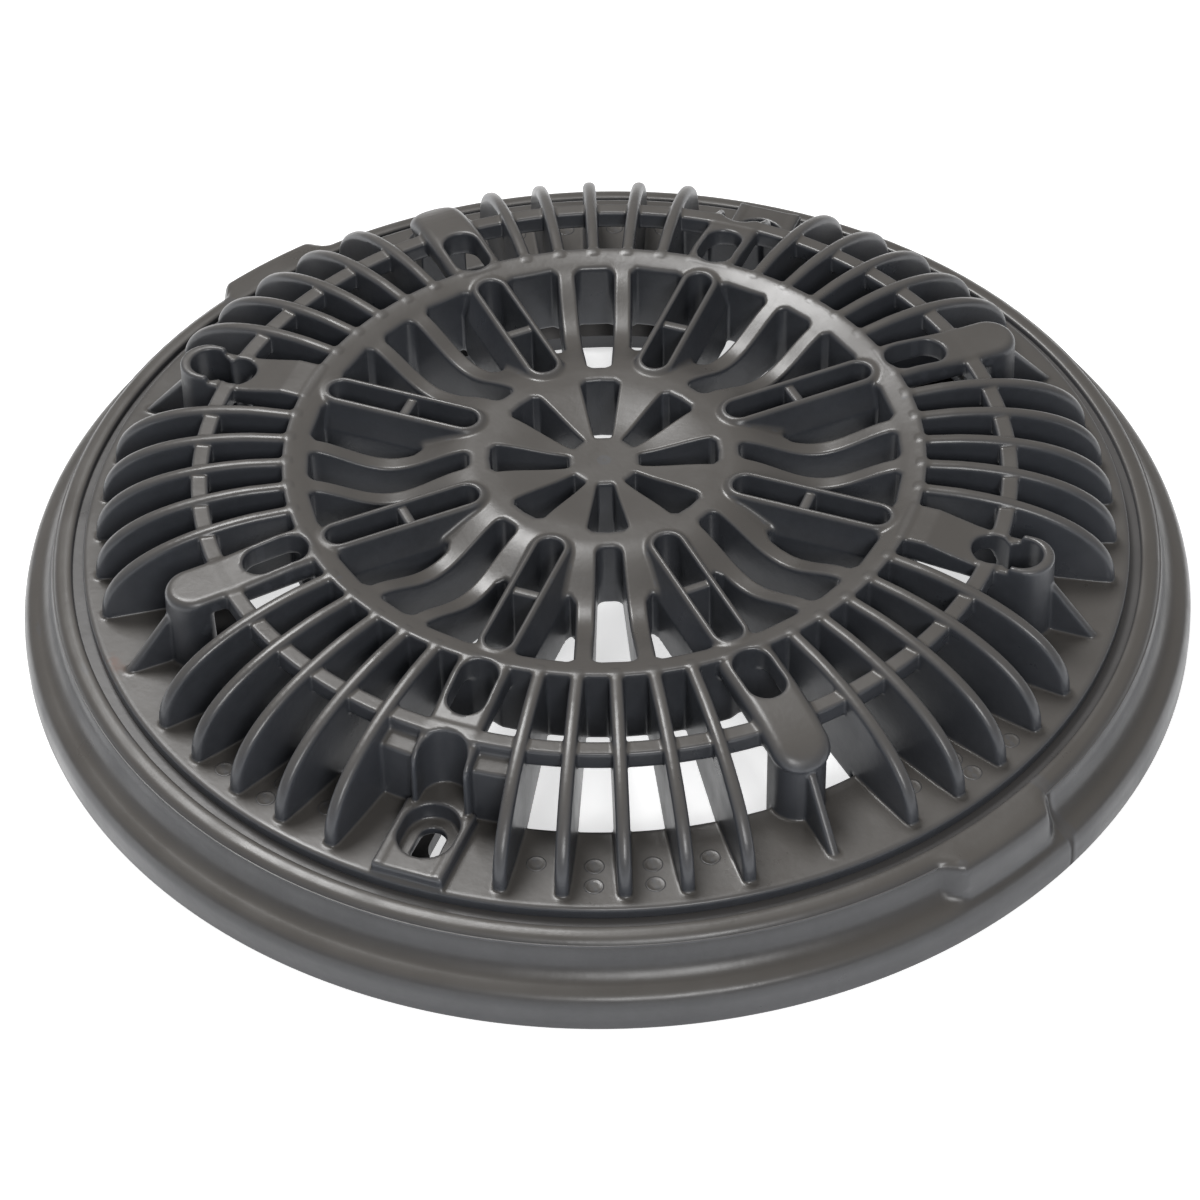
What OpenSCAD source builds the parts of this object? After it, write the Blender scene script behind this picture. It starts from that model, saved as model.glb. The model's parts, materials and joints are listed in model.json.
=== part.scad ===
// Domed main-drain cover in its frame ring.
// Millimetres, +Z up, origin at the centre of the frame's flat underside.
// The two slotted screw holes of the cover lie on the X axis.
// The two deep screw wells lie on the Y axis.

/* [Overall sizes] */
// Diameter over the cover's flange
cover_d = 256.6; // [240:0.2:320]
// Height of the cover's top ring above the underside of the frame
top_h = 45; // [40:0.5:56]
// Height of the flange's top face above the underside of the frame
flange_top = 22; // [20:0.5:26]
// Thickness of the cover's flange
flange_t = 3.5; // [2.5:0.1:4.5]

/* [Ribs] */
// Number of ribs between two neighbouring bosses
ribs_per_bay = 5; // [3:1:5]
// Angle from one rib to the next in degrees
rib_pitch = 6.5; // [6:0.1:6.8]
// Thickness of one rib
rib_t = 3.2; // [2:0.1:4]
// Radius where the rib slots start, on a cover of the standard diameter
ring_radius = 78; // [72:0.5:82]
// Radius of the rib tips on the flange, on a cover of the standard diameter
foot_radius = 125; // [118:0.5:127]
// Radius of the flange's inner edge, on a cover of the standard diameter
flange_in_radius = 104.5; // [100:0.5:108]

/* [Tie hoop] */
// Inner radius of the hoop that ties the ribs together, at the standard diameter
hoop_radius = 95.6; // [90:0.2:97]
// Width of the hoop
hoop_w = 4.2; // [3:0.1:6]
// Height of the hoop
hoop_h = 4.8; // [3:0.1:7]
// Drop of the hoop's top below the top ring
hoop_drop = 3.2; // [2.4:0.1:5]

/* [Star grille] */
// Radius of the flat disc in the middle, at the standard diameter
hub_radius = 8.8; // [6:0.2:12]
// Inner radius of the inner ring, at the standard diameter
inner_radius = 27.4; // [22:0.2:30]
// Width of the inner ring
inner_ring_w = 5.2; // [3.6:0.2:8]
// Inner radius of the top ring, at the standard diameter
star_radius = 72.2; // [66:0.2:74]
// Depth of the valley between the two rings
valley_dip = 6.3; // [2:0.1:8]
// Depth of the star grille's webs below the top ring
grille_deep = 20.5; // [12:0.5:22]
// Width of the radial slots at their inner end
slot_w_in = 6; // [4:0.1:7]
// Width of the radial slots at their outer end
slot_w_out = 10.4; // [7:0.1:12]
// Width of a spoke beside a radial slot
spoke_w = 4.6; // [3:0.1:6]

/* [Long cups] */
// Width of the opening of a long cup
cup_w = 6.4; // [4:0.1:7.4]
// Wall of a long cup at its top
cup_wall = 1.6; // [1.2:0.1:2.4]
// Outward slope of a long cup's wall down to the grille
cup_flare = 2.2; // [0:0.1:2.6]
// Radius of the cross bar in a long cup, at the standard diameter
bar_radius = 51.6; // [45:0.2:58]
// Thickness of the cross bar
bar_t = 2.6; // [1.5:0.1:4]

/* [Bosses] */
// Width of a boss
boss_w = 13; // [11:0.1:16]
// Radius of the outer end of a boss, at the standard diameter
boss_end_radius = 112.5; // [110:0.1:114]
// Width of the rounded slot in front of a boss
boss_slot_w = 9; // [6:0.1:10]
// Radius of the outer end of the rounded slot, at the standard diameter
boss_slot_radius = 93; // [90:0.2:95]
// Thickness of the buttress behind a boss
buttress_t = 2.4; // [1.6:0.1:3.2]
// Diameter of a screw well
well_d = 10; // [9:0.1:10.6]
// Radius of the screw well and of the screw below it, at the standard diameter
well_radius = 104.8; // [104:0.1:105.4]

/* [Slotted holes] */
// Radius of the middle of a slotted hole, at the standard diameter
hole_mid_radius = 114.3; // [113:0.1:115.5]
// Width of a slotted hole
hole_w = 6.4; // [4:0.1:7]
// Length of a slotted hole end to end
hole_len = 11; // [8:0.1:12]
// Width of the counterbore above a slotted hole
hole_cb_w = 13; // [9:0.1:13.4]
// Height of the pad round a slotted hole above the flange
pad_h = 3.2; // [1.5:0.1:5]
// Width of the pad round a slotted hole
pad_w = 17.2; // [15.5:0.1:20]

/* [Frame] */
// Radial gap between the cover's flange and the frame's rim
rim_gap = 2.8; // [1:0.1:4]
// Step down from the cover's flange to the flat top of the frame's rim
rim_step = 2; // [0.5:0.1:2.4]
// Width of the rim's flat top
rim_w = 5; // [3.5:0.1:8]
// Width of the brim outside the rim
brim_w = 8.5; // [7:0.1:30]
// Radius of the opening through the frame's base, at the standard diameter
base_radius = 92; // [84:0.5:94]
// Thickness of the frame's base
base_t = 4; // [3:0.1:6]
// Angle of the first lug from the X axis in degrees
lug_angle = 61; // [50:0.5:70]
// Angle covered by one lug in degrees
lug_span = 12.5; // [8:0.5:20]

/* [Screws] */
// Diameter of the screw's shank
screw_d = 5; // [4:0.1:6]
// Radial clearance of the shank in the insert
screw_fit = 0.05; // [0.03:0.01:0.1]
// Diameter of the screw's head
head_d = 8.6; // [7:0.1:9]
// Height of the screw's head
head_h = 3.2; // [2.5:0.1:4]
// Outside diameter of a threaded insert
insert_d = 8; // [7:0.1:9]
// Height of a threaded insert
insert_h = 10; // [8:0.5:13]

/* [Hidden] */
// Angle from one boss to the next
bay = 45;
// How much wider the cover is than one of the standard diameter
size_k = cover_d/256.6;
ring_r = ring_radius*size_k;
foot_r = foot_radius*size_k;
flange_in_r = flange_in_radius*size_k;
hoop_r = hoop_radius*size_k;
hub_r = hub_radius*size_k;
inner_r1 = inner_radius*size_k;
inner_r2 = inner_r1 + inner_ring_w*size_k;
star_r = star_radius*size_k;
bar_r = bar_radius*size_k;
boss_end_r = boss_end_radius*size_k;
boss_slot_r = boss_slot_radius*size_k;
well_r = well_radius*size_k;
hole_mid_r = hole_mid_radius*size_k;
base_r = base_radius*size_k;
cover_r = cover_d/2;
rim_r = cover_r + rim_gap;
rim_out = rim_r + rim_w;
frame_r = rim_out + brim_w;
flange_bot = flange_top - flange_t;
rim_top = flange_top - rim_step;
ledge_in = flange_in_r + 8.5;
ledge_t = 3.5;
// Depth of the bosses' bridges below the top ring
rib_deep = 5.5;
// Radius where a rib's lower edge reaches the level of the flange's underside
leg_r = flange_in_r - 2;
// Semi-axes of the ribs' quarter ellipse
ell_a = foot_r - ring_r;
ell_b = top_h - flange_top;
hoop_top = top_h - hoop_drop;
hoop_bot = hoop_top - hoop_h;
ring_bot = top_h - rib_deep;
// Level of the hub disc, of the inner ring and of the long cups' rim
hub_z = top_h - 3.8;
inner_z = top_h - 1.7;
cup_top = top_h - 0.6;
// Radii between which the valley dips
valley_in = inner_r2 - 1.6;
valley_out = star_r + 1.8;
grille_bot = top_h - grille_deep;
cup_bot = grille_bot - 0.4;
// Half width of a long cup at its rim and at its foot
cup_h1 = cup_w/2 + cup_wall;
cup_h2 = cup_h1 + cup_flare;
cup_in_r = inner_r2 + 0.6;
cup_out_r = star_r + 0.3;
boss_c = boss_end_r - boss_w/2;
// Half width and inner end of the upright channel above a slotted hole
chan_h = boss_w/2 - 0.8;
chan_r = hole_mid_r - 16;
// Outside width and outer end of the boss round that channel
chan_w = boss_w + 1;
chan_end = chan_r + 8.4;
pad_top = flange_top + pad_h;
// Outer end of the pad and floor of its counterbore
pad_end = min(cover_r - 1.2, hole_mid_r + 13.7);
cb_floor = flange_bot + 2;
// Angle from a slotted hole to its nearest rib
wing_angle = bay/2 - rib_pitch*(ribs_per_bay - 1)/2;
well_floor = flange_bot + 4.5;
pillar_top = flange_bot;
big = 400;
eps = 0.01;

// Height of the ribs' top line at a radius
function rib_z(r) = flange_top + ell_b*sqrt(max(0, 1 - pow((r - ring_r)/ell_a, 2)));
// Smooth step from 0 to 1
function step01(t) = let(u = min(1, max(0, t))) u*u*(3 - 2*u);
// Height of the star grille's top surface at a radius
function star_z(r) = inner_z + (top_h - inner_z)*step01((r - ring_r + 8)/8)
    - (r > valley_in && r < valley_out
        ? valley_dip*pow(sin(180*(r - valley_in)/(valley_out - valley_in)), 2) : 0);
// Height of the hub spokes' top surface at a radius
function hub_top(r) = hub_z + (inner_z - hub_z)*step01((r - hub_r)/(inner_r1 - hub_r));

// Copies its children to every listed angle
module at(angles) {
    for (a = angles) rotate([0, 0, a]) children();
}

// A flat annulus
module tube(ro, ri, z0, z1) {
    translate([0, 0, z0]) difference() {
        cylinder(h = z1 - z0, r = ro, $fn = 180);
        translate([0, 0, -1]) cylinder(h = z1 - z0 + 2, r = ri, $fn = 180);
    }
}

// A slot with two round ends along X
module slot2d(x0, x1, w) {
    translate([x0 + w/2, -w/2]) square([x1 - x0 - w, w]);
    translate([x0 + w/2, 0]) circle(d = w, $fn = 32);
    translate([x1 - w/2, 0]) circle(d = w, $fn = 32);
}

// A block with a round outer end, as wide as a boss
module boss_plan(x0, x1, w) {
    translate([x0, -w/2]) square([x1 - w/2 - x0, w]);
    translate([x1 - w/2, 0]) circle(d = w, $fn = 40);
}

// ---------------------------------------------------------------- frame

module frame_rim() color([0.36, 0.35, 0.34]) difference() {
    union() {
        tube(rim_out, rim_r, flange_bot, rim_top - 1);
        tube(rim_out - 1, rim_r, rim_top - 1 - eps, rim_top);
    }
}

module frame_brim() color([0.34, 0.33, 0.32]) rotate_extrude($fn = 180) polygon([
    [rim_out, base_t],
    [frame_r - 2.5, base_t],
    [frame_r - 2.5, 0],
    [frame_r - 1, 0],
    [frame_r, 1],
    [frame_r, 4],
    [frame_r - 1, 7.5],
    [frame_r - 2.6, 9.4],
    [frame_r - 4.6, 9.8],
    [rim_out + 2.6, 10.4],
    [rim_out + 1.2, 12.2],
    [rim_out + 0.5, rim_top - 3],
    [rim_out, rim_top - 2.4]]);

module frame_ledge() color([0.33, 0.32, 0.31]) difference() {
    tube(rim_out, ledge_in, flange_bot - ledge_t, flange_bot);
    at([0, 180]) translate([0, 0, flange_bot - ledge_t - 1]) linear_extrude(ledge_t + 2)
        slot2d(ledge_in - 12, hole_mid_r + 8, 13);
}

module frame_wall() color([0.33, 0.32, 0.31])
    tube(rim_out, rim_out - 3.5, base_t, flange_bot - ledge_t);

module frame_base() color([0.32, 0.31, 0.30]) difference() {
    tube(frame_r - 2.5, base_r, 0, base_t);
    at([0, 180]) translate([0, 0, -1]) linear_extrude(base_t + 2)
        slot2d(base_r - 12, base_r + 14, 13);
    at([90, 270]) translate([well_r, 0, -1]) cylinder(h = base_t + 2, d = 6, $fn = 32);
}

module frame_lugs() color([0.36, 0.35, 0.34]) at([lug_angle, lug_angle + 180]) {
    intersection() {
        difference() {
            tube(frame_r - 3.2, rim_out + 1, 11, rim_top - 0.8);
            frame_brim();
        }
        translate([0, 0, -1]) linear_extrude(big) polygon([
            [0, 0],
            [big*cos(lug_span/2), -big*sin(lug_span/2)],
            [big*cos(lug_span/2), big*sin(lug_span/2)]]);
    }
}

module screw_pillars() color([0.33, 0.32, 0.31]) at([90, 270]) difference() {
    union() {
        translate([well_r, 0, base_t]) cylinder(h = pillar_top - base_t, d = 13, $fn = 48);
        translate([well_r, -1.5, base_t])
            cube([rim_out - 3.6 - well_r, 3, flange_bot - ledge_t - base_t]);
    }
    translate([well_r, 0, pillar_top - insert_h]) cylinder(h = insert_h + 1, d = insert_d, $fn = 40);
    translate([well_r, 0, 0]) cylinder(h = pillar_top, d = 6, $fn = 32);
}

module screw_inserts() color([0.74, 0.60, 0.32]) at([90, 270]) translate([well_r, 0, 0])
difference() {
    translate([0, 0, pillar_top - insert_h]) cylinder(h = insert_h, d = insert_d, $fn = 40);
    translate([0, 0, pillar_top - insert_h - 1])
        cylinder(h = insert_h + 2, d = screw_d + 2*screw_fit, $fn = 40);
}

// ---------------------------------------------------------------- cover rim

module cover_flange() color([0.37, 0.36, 0.35]) difference() {
    union() {
        tube(cover_r, flange_in_r, flange_bot, flange_top - 1);
        tube(cover_r - 1, flange_in_r, flange_top - 1 - eps, flange_top);
    }
    at([45, 90, 135, 225, 270, 315]) translate([0, 0, flange_bot - 1]) linear_extrude(flange_t + 2)
        boss_plan(flange_in_r - 4, boss_end_r, boss_w);
    at([0, 180]) hole_cut(flange_t + 4);
}

module slot_hole_pads() color([0.38, 0.37, 0.36]) at([0, 180]) difference() {
    translate([0, 0, flange_top]) linear_extrude(pad_h) difference() {
        translate([flange_in_r + 1, -pad_w/2]) square([pad_end - flange_in_r - 1, pad_w]);
        translate([flange_in_r - 1, -chan_w/2]) square([chan_end - flange_in_r + 1, chan_w]);
    }
    hole_cut(pad_h + flange_t + 2);
}

// The slotted hole with its counterbore, cut up to a height above the hole's floor
module hole_cut(up) {
    translate([hole_mid_r, 0, flange_bot - 1]) linear_extrude(up)
        slot2d(-hole_len/2, hole_len/2, hole_w);
    translate([hole_mid_r, 0, cb_floor]) linear_extrude(up)
        slot2d(-hole_len/2 - 3.2, hole_len/2 + 2.2, hole_cb_w);
}

// ---------------------------------------------------------------- ribs and hoop

// Side view of one rib, radius along X and height along Y
module rib_profile() {
    polygon(concat(
        [for (i = [0 : 14]) let(t = 90 - 90*i/14)
            [ring_r + ell_a*cos(t), flange_top + ell_b*sin(t)]],
        [[flange_in_r, flange_top],
        [flange_in_r, flange_bot],
        [leg_r, flange_bot],
        [ring_r, grille_bot]]));
}

module one_rib() {
    rotate([90, 0, 0]) translate([0, 0, -rib_t/2]) linear_extrude(rib_t) rib_profile();
}

// The ribs between two neighbouring bosses
module rib_bay(k) color([0.40, 0.39, 0.38]) rotate([0, 0, bay*(k - 0.5)]) difference() {
    at([for (i = [0 : ribs_per_bay - 1]) (i - (ribs_per_bay - 1)/2)*rib_pitch]) one_rib();
    translate([0, 0, -1]) cylinder(h = big, r = ring_r, $fn = 180);
    tube(hoop_r + hoop_w, hoop_r, hoop_bot, hoop_top);
}

module tie_hoop() color([0.41, 0.40, 0.39]) difference() {
    tube(hoop_r + hoop_w, hoop_r, hoop_bot, hoop_top);
    at([0 : bay : 315]) translate([hoop_r - 8, -boss_w/2, 0]) cube([20, boss_w, big]);
    at([0, 180]) translate([chan_r - 1.6, -chan_w/2, 0]) cube([20, chan_w, big]);
}

// ---------------------------------------------------------------- star grille

// Profile of the star grille between two radii
module star_band(r0, r1, n) {
    rotate_extrude($fn = 180) polygon(concat(
        [for (i = [0 : n]) let(r = r0 + (r1 - r0)*i/n) [r, star_z(r)]],
        [[r1, grille_bot],
        [r0, grille_bot]]));
}

module top_ring() color([0.42, 0.41, 0.40]) difference() {
    union() {
        star_band(star_r, ring_r, 4);
    }
    at([0, 45, 135, 180, 225, 315]) translate([0, 0, -1]) linear_extrude(big)
        slot2d(ring_r - 1, boss_slot_r, boss_slot_w);
    at([0 : bay : 315]) cup_envelope();
}

// A point at a radius and an angle
function pol(r, a) = [r*cos(a), r*sin(a)];
// Points along an arc round (x, y)
function arc(x, y, r, a0, a1, n) = [for (i = [0 : n]) let(a = a0 + (a1 - a0)*i/n)
    [x + r*cos(a), y + r*sin(a)]];

// A tapered radial slot with rounded ends
module radial_slot() {
    x0 = inner_r2 + slot_w_in/2 + 0.2;
    x1 = star_r - 0.7;
    polygon(concat(
        arc(x0, 0, slot_w_in/2, 90, 270, 8),
        arc(x1 - 2.2, 2.2 - slot_w_out/2, 2.2, 275, 360, 4),
        arc(x1 - 2.2, slot_w_out/2 - 2.2, 2.2, 0, 85, 4)));
}

// A slot between a spoke and the wall of a long cup
module side_slot() {
    k = (slot_w_out - slot_w_in)/2/(star_r - inner_r2);
    xa = inner_r2 + 13.4*size_k;
    rb = star_r - 0.9;
    // Edge beside the spoke
    ya = slot_w_in/2 + k*(xa - inner_r2) + spoke_w;
    yb = slot_w_in/2 + k*(rb - inner_r2) + spoke_w;
    a1 = asin((yb + 2)/rb);
    // Edge just inside the long cup, parallel to the cup's axis
    off = (cup_h2 - 1.4)/cos(bay/2);
    a2 = bay/2 - asin((cup_h2 - 1.4)/rb) - 1.6;
    polygon(concat(
        [[xa, ya], [rb - 2.6, yb - 0.1], [rb - 1.3, yb + 0.5]],
        [for (i = [0 : 4]) pol(rb, a1 + (a2 - a1)*i/4)],
        [[rb - 4, (rb - 4)*tan(bay/2) - off],
        [xa - 1.4, (xa - 1.4)*tan(bay/2) - off],
        [xa - 2.2, ya + 3.4],
        [xa - 1.5, ya + 0.9]]));
}

module valley_spokes() color([0.43, 0.42, 0.41]) difference() {
    star_band(inner_r2, star_r, 10);
    at([bay/2 : bay : 350]) translate([0, 0, -1]) linear_extrude(big) {
        radial_slot();
        side_slot();
        mirror([0, 1]) side_slot();
    }
    at([0 : bay : 315]) cup_envelope();
}

module inner_ring() color([0.44, 0.43, 0.42]) difference() {
    star_band(inner_r1, inner_r2, 3);
    at([0 : bay : 315]) cup_envelope();
}

// One of the eight openings round the hub
module hub_window() {
    polygon([
        [hub_r - 0.5, -2.2],
        [inner_r1 - 1.2, -5],
        [inner_r1 - 0.2, -4.4],
        [inner_r1 + 0.2, 0],
        [inner_r1 - 0.2, 4.4],
        [inner_r1 - 1.2, 5],
        [hub_r - 0.5, 2.2]]);
}

module hub_spokes() color([0.44, 0.43, 0.42]) difference() {
    rotate_extrude($fn = 180) polygon(concat(
        [for (i = [0 : 6]) let(r = hub_r + (inner_r1 - hub_r)*i/6) [r, hub_top(r)]],
        [[inner_r1, grille_bot],
        [hub_r, grille_bot]]));
    at([bay/2 : bay : 350]) translate([0, 0, -1]) linear_extrude(big) hub_window();
}

module hub_disc() color([0.44, 0.43, 0.42]) translate([0, 0, grille_bot])
    cylinder(h = hub_z - grille_bot, r = hub_r, $fn = 72);

// ---------------------------------------------------------------- long cups

// Solid outline of a long cup along X
module cup_envelope() {
    intersection() {
        translate([cup_in_r - 2, 0, 0]) rotate([90, 0, 90]) linear_extrude(cup_out_r - cup_in_r + 3.4)
            polygon([
                [-cup_h2, cup_bot],
                [cup_h2, cup_bot],
                [cup_h2, inner_z - valley_dip],
                [cup_h1 + 0.5, cup_top - 1.8],
                [cup_h1 - 0.6, cup_top],
                [-cup_h1 + 0.6, cup_top],
                [-cup_h1 - 0.5, cup_top - 1.8],
                [-cup_h2, inner_z - valley_dip]]);
        linear_extrude(big) boss_plan_in(cup_in_r - 2, cup_out_r + 1.4);
    }
}

// A long outline with a round inner end
module boss_plan_in(x0, x1) {
    translate([x0 + cup_h2, -cup_h2]) square([x1 - x0 - cup_h2, 2*cup_h2]);
    translate([x0 + cup_h2, 0]) circle(r = cup_h2, $fn = 40);
}

module long_cups() color([0.46, 0.45, 0.44]) at([0 : bay : 315]) difference() {
    cup_envelope();
    difference() {
        linear_extrude(big) slot2d(cup_in_r, cup_out_r - 0.4, cup_w);
        translate([bar_r - bar_t/2, -cup_w, cup_bot]) cube([bar_t, 2*cup_w, cup_top - cup_bot - 1.2]);
    }
}

// ---------------------------------------------------------------- bosses

// Bridge from the top ring out to a boss with the top falling to z1
module boss_bridge(z1) {
    rotate([90, 0, 0]) translate([0, 0, -boss_w/2]) linear_extrude(boss_w) polygon([
        [ring_r - 1, ring_bot],
        [ring_r - 1, top_h],
        [ring_r + 5, top_h - 0.1],
        [boss_slot_r + 2, z1],
        [boss_c + 0.1, z1],
        [boss_c + 0.1, hoop_bot],
        [hoop_r, hoop_bot]]);
}

// Post under a boss down to the bottom of the flange
module boss_post(z1) {
    translate([0, 0, flange_bot]) linear_extrude(z1 - flange_bot)
        boss_plan(boss_c - 2.8, boss_end_r, boss_w);
}

// Removes what belongs to the top ring and the flange's neighbours
module boss_trim() {
    translate([0, 0, -1]) cylinder(h = big, r = ring_r, $fn = 180);
}

module screw_well_bosses() color([0.42, 0.41, 0.40]) at([90, 270]) difference() {
    union() {
        boss_bridge(top_h - 3.6);
        boss_post(top_h - 1.8);
        translate([0, 0, flange_bot]) linear_extrude(top_h - 6 - flange_bot)
            boss_plan(well_r - 6, boss_end_r, boss_w);
    }
    boss_trim();
    translate([0, 0, well_floor]) linear_extrude(big) {
        translate([well_r, 0]) circle(d = well_d, $fn = 40);
        translate([well_r - 7.2, 0]) circle(d = well_d - 0.4, $fn = 40);
    }
    translate([well_r, 0, flange_bot - 1]) cylinder(h = 20, d = screw_d + 0.8, $fn = 40);
}

module blank_bosses() color([0.42, 0.41, 0.40]) at([135, 315]) difference() {
    union() {
        boss_bridge(top_h - 2.4);
        boss_post(top_h - 2.4);
    }
    boss_trim();
    translate([0, 0, -1]) linear_extrude(big) slot2d(ring_r - 1, boss_slot_r, boss_slot_w);
}

module slot_bosses() color([0.42, 0.41, 0.40]) at([0, 180]) difference() {
    union() {
        rotate([90, 0, 0]) translate([0, 0, -boss_w/2]) linear_extrude(boss_w) polygon([
            [ring_r - 1, ring_bot],
            [ring_r - 1, top_h],
            [ring_r + 5, top_h - 0.1],
            [boss_slot_r + 2, top_h - 2.6],
            [chan_r + 0.6, top_h - 3.6],
            [chan_r + 0.6, hoop_bot],
            [hoop_r, hoop_bot]]);
        rotate([90, 0, 0]) translate([0, 0, -chan_w/2]) linear_extrude(chan_w) polygon([
            [chan_r - 1.6, flange_bot],
            [chan_r - 1.6, top_h - 3.3],
            [chan_r + 0.6, top_h - 3.6],
            [chan_r + 5.6, top_h - 5],
            [chan_end - 0.7, top_h - 6.2],
            [chan_end, top_h - 7.5],
            [chan_end, flange_bot]]);
        slot_boss_wings();
    }
    boss_trim();
    tube(cover_r, flange_in_r, flange_bot - 1, flange_top);
    translate([0, 0, -1]) linear_extrude(big) slot2d(ring_r - 1, boss_slot_r, boss_slot_w);
    translate([0, 0, pad_top]) linear_extrude(big) slot2d(chan_r, hole_mid_r + 20, 2*chan_h);
    translate([hole_mid_r, 0, cb_floor]) linear_extrude(big)
        slot2d(-hole_len/2 - 3.2, hole_len/2 + 2.2, hole_cb_w);
}

// Walls that close the gap under the hoop on both sides of a slotted hole's boss
module slot_boss_wings() {
    difference() {
        tube(flange_in_r, flange_in_r - 2.4, flange_bot, hoop_bot);
        translate([-big, -big/2, 0]) cube([big, big, big]);
        for (m = [0, 1]) mirror([0, m, 0]) rotate([0, 0, wing_angle])
            translate([0, -rib_t/2, 0]) cube([big, big, big]);
    }
}

module round_bosses() color([0.42, 0.41, 0.40]) at([45, 225]) difference() {
    union() {
        boss_bridge(top_h - 4.2);
        translate([boss_c, 0, top_h - 9.8]) cylinder(h = 1.4, d = boss_w + 0.6, $fn = 48);
        translate([boss_c, 0, top_h - 8.4])
            cylinder(h = 5.4, d1 = boss_w + 0.6, d2 = boss_w - 5, $fn = 48);
        translate([0, 0, flange_bot]) linear_extrude(top_h - 9 - flange_bot)
            boss_plan(boss_c - 5, boss_end_r, boss_w);
    }
    boss_trim();
    translate([0, 0, -1]) linear_extrude(big) slot2d(ring_r - 1, boss_slot_r, boss_slot_w);
}

module boss_buttresses() color([0.40, 0.39, 0.38]) at([45, 90, 135, 225, 270, 315]) difference() {
    rotate([90, 0, 0]) translate([0, 0, -buttress_t/2]) linear_extrude(buttress_t) polygon([
        [boss_c, flange_top],
        [boss_c, top_h - 12.2],
        [boss_end_r, top_h - 12.2],
        [foot_r - 0.6, flange_top]]);
    translate([0, 0, flange_top - 1]) linear_extrude(big)
        boss_plan(boss_c - 6, boss_end_r, boss_w);
}

// ---------------------------------------------------------------- screws

module screw() {
    difference() {
        union() {
            translate([0, 0, well_floor]) cylinder(h = head_h - 1, d = head_d, $fn = 40);
            translate([0, 0, well_floor + head_h - 1]) cylinder(h = 1, d1 = head_d, d2 = head_d - 1.6, $fn = 40);
            translate([0, 0, pillar_top - insert_h + 1])
                cylinder(h = well_floor - pillar_top + insert_h - 1, d = screw_d, $fn = 40);
        }
        translate([-0.6, -2.2, well_floor + head_h - 1.8]) cube([1.2, 4.4, 3]);
        translate([-2.2, -0.6, well_floor + head_h - 1.8]) cube([4.4, 1.2, 3]);
    }
}

module screw_a() color([0.75, 0.75, 0.77]) rotate([0, 0, 90]) translate([well_r, 0, 0]) screw();

module screw_b() color([0.75, 0.75, 0.77]) rotate([0, 0, 270]) translate([well_r, 0, 0]) screw();

frame_rim();
frame_brim();
frame_ledge();
frame_wall();
frame_base();
frame_lugs();
screw_pillars();
screw_inserts();
cover_flange();
slot_hole_pads();
rib_bay(1);  // side_ribs_1
rib_bay(2);  // side_ribs_2
rib_bay(3);  // side_ribs_3
rib_bay(4);  // side_ribs_4
rib_bay(5);  // side_ribs_5
rib_bay(6);  // side_ribs_6
rib_bay(7);  // side_ribs_7
rib_bay(8);  // side_ribs_8
tie_hoop();
top_ring();
valley_spokes();
inner_ring();
hub_spokes();
hub_disc();
long_cups();
screw_well_bosses();
blank_bosses();
slot_bosses();
round_bosses();
boss_buttresses();
screw_a();
screw_b();
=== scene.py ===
import json
import math

import bpy
import numpy as np
from mathutils import Matrix, Vector

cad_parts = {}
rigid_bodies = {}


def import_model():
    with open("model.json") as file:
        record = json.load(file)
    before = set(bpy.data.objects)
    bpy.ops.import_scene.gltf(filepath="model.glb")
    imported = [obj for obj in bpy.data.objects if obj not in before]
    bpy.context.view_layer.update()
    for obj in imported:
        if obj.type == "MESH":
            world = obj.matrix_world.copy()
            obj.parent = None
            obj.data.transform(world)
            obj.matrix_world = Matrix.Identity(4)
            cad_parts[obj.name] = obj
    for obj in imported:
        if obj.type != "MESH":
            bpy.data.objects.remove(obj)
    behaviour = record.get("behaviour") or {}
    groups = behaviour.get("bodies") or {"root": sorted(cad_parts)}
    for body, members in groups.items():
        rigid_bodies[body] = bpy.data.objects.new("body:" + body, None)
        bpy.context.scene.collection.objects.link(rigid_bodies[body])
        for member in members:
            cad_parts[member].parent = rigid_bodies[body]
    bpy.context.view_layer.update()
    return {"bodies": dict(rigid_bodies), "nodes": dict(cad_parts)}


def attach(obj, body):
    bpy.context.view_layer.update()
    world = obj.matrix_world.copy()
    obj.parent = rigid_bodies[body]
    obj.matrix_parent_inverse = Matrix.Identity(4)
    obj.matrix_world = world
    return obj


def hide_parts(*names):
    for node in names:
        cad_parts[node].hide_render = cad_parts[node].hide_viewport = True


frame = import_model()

MM = 0.001

# ------------------------------------------------------------------ sizes, mm
TOP = 45.0
FLANGE_TOP = 22.0
FLANGE_BOT = 18.5
RING_R = 78.0
FOOT_R = 125.0
FLANGE_IN = 104.5
COVER_R = 128.3
RIB_HALF = 1.5
RIB_PITCH = 6.5
RIB_FULL = 2.25
HOOP = (95.9, 100.1, 37.4, 42.2)
HUB_R, INNER_1, INNER_2, STAR_R = 8.8, 27.4, 32.6, 72.2
HUB_Z, INNER_Z, CUP_TOP, GRILLE_BOT = 41.2, 43.3, 44.4, 24.5
DIP = 6.3
BOSS_HALF = 6.5
BOSS_END = 112.5
BOSS_C = BOSS_END - BOSS_HALF
WELL_R = 104.8
WELL_FLOOR = 23.0
CHAN_R, CHAN_HALF, CHAN_OUT, CHAN_END = 98.3, 5.7, 7.0, 106.7
HOLE_R = 114.3
PAD_TOP = 25.2
BAY = math.radians(45)
# Grid of the surface search: millimetres along radius and height, cells over half a bay
STEP = 0.62
CELLS = 88
# Radius at which the cover's surface is divided into star sectors and side walls
SPLIT_R = 75.0
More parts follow.
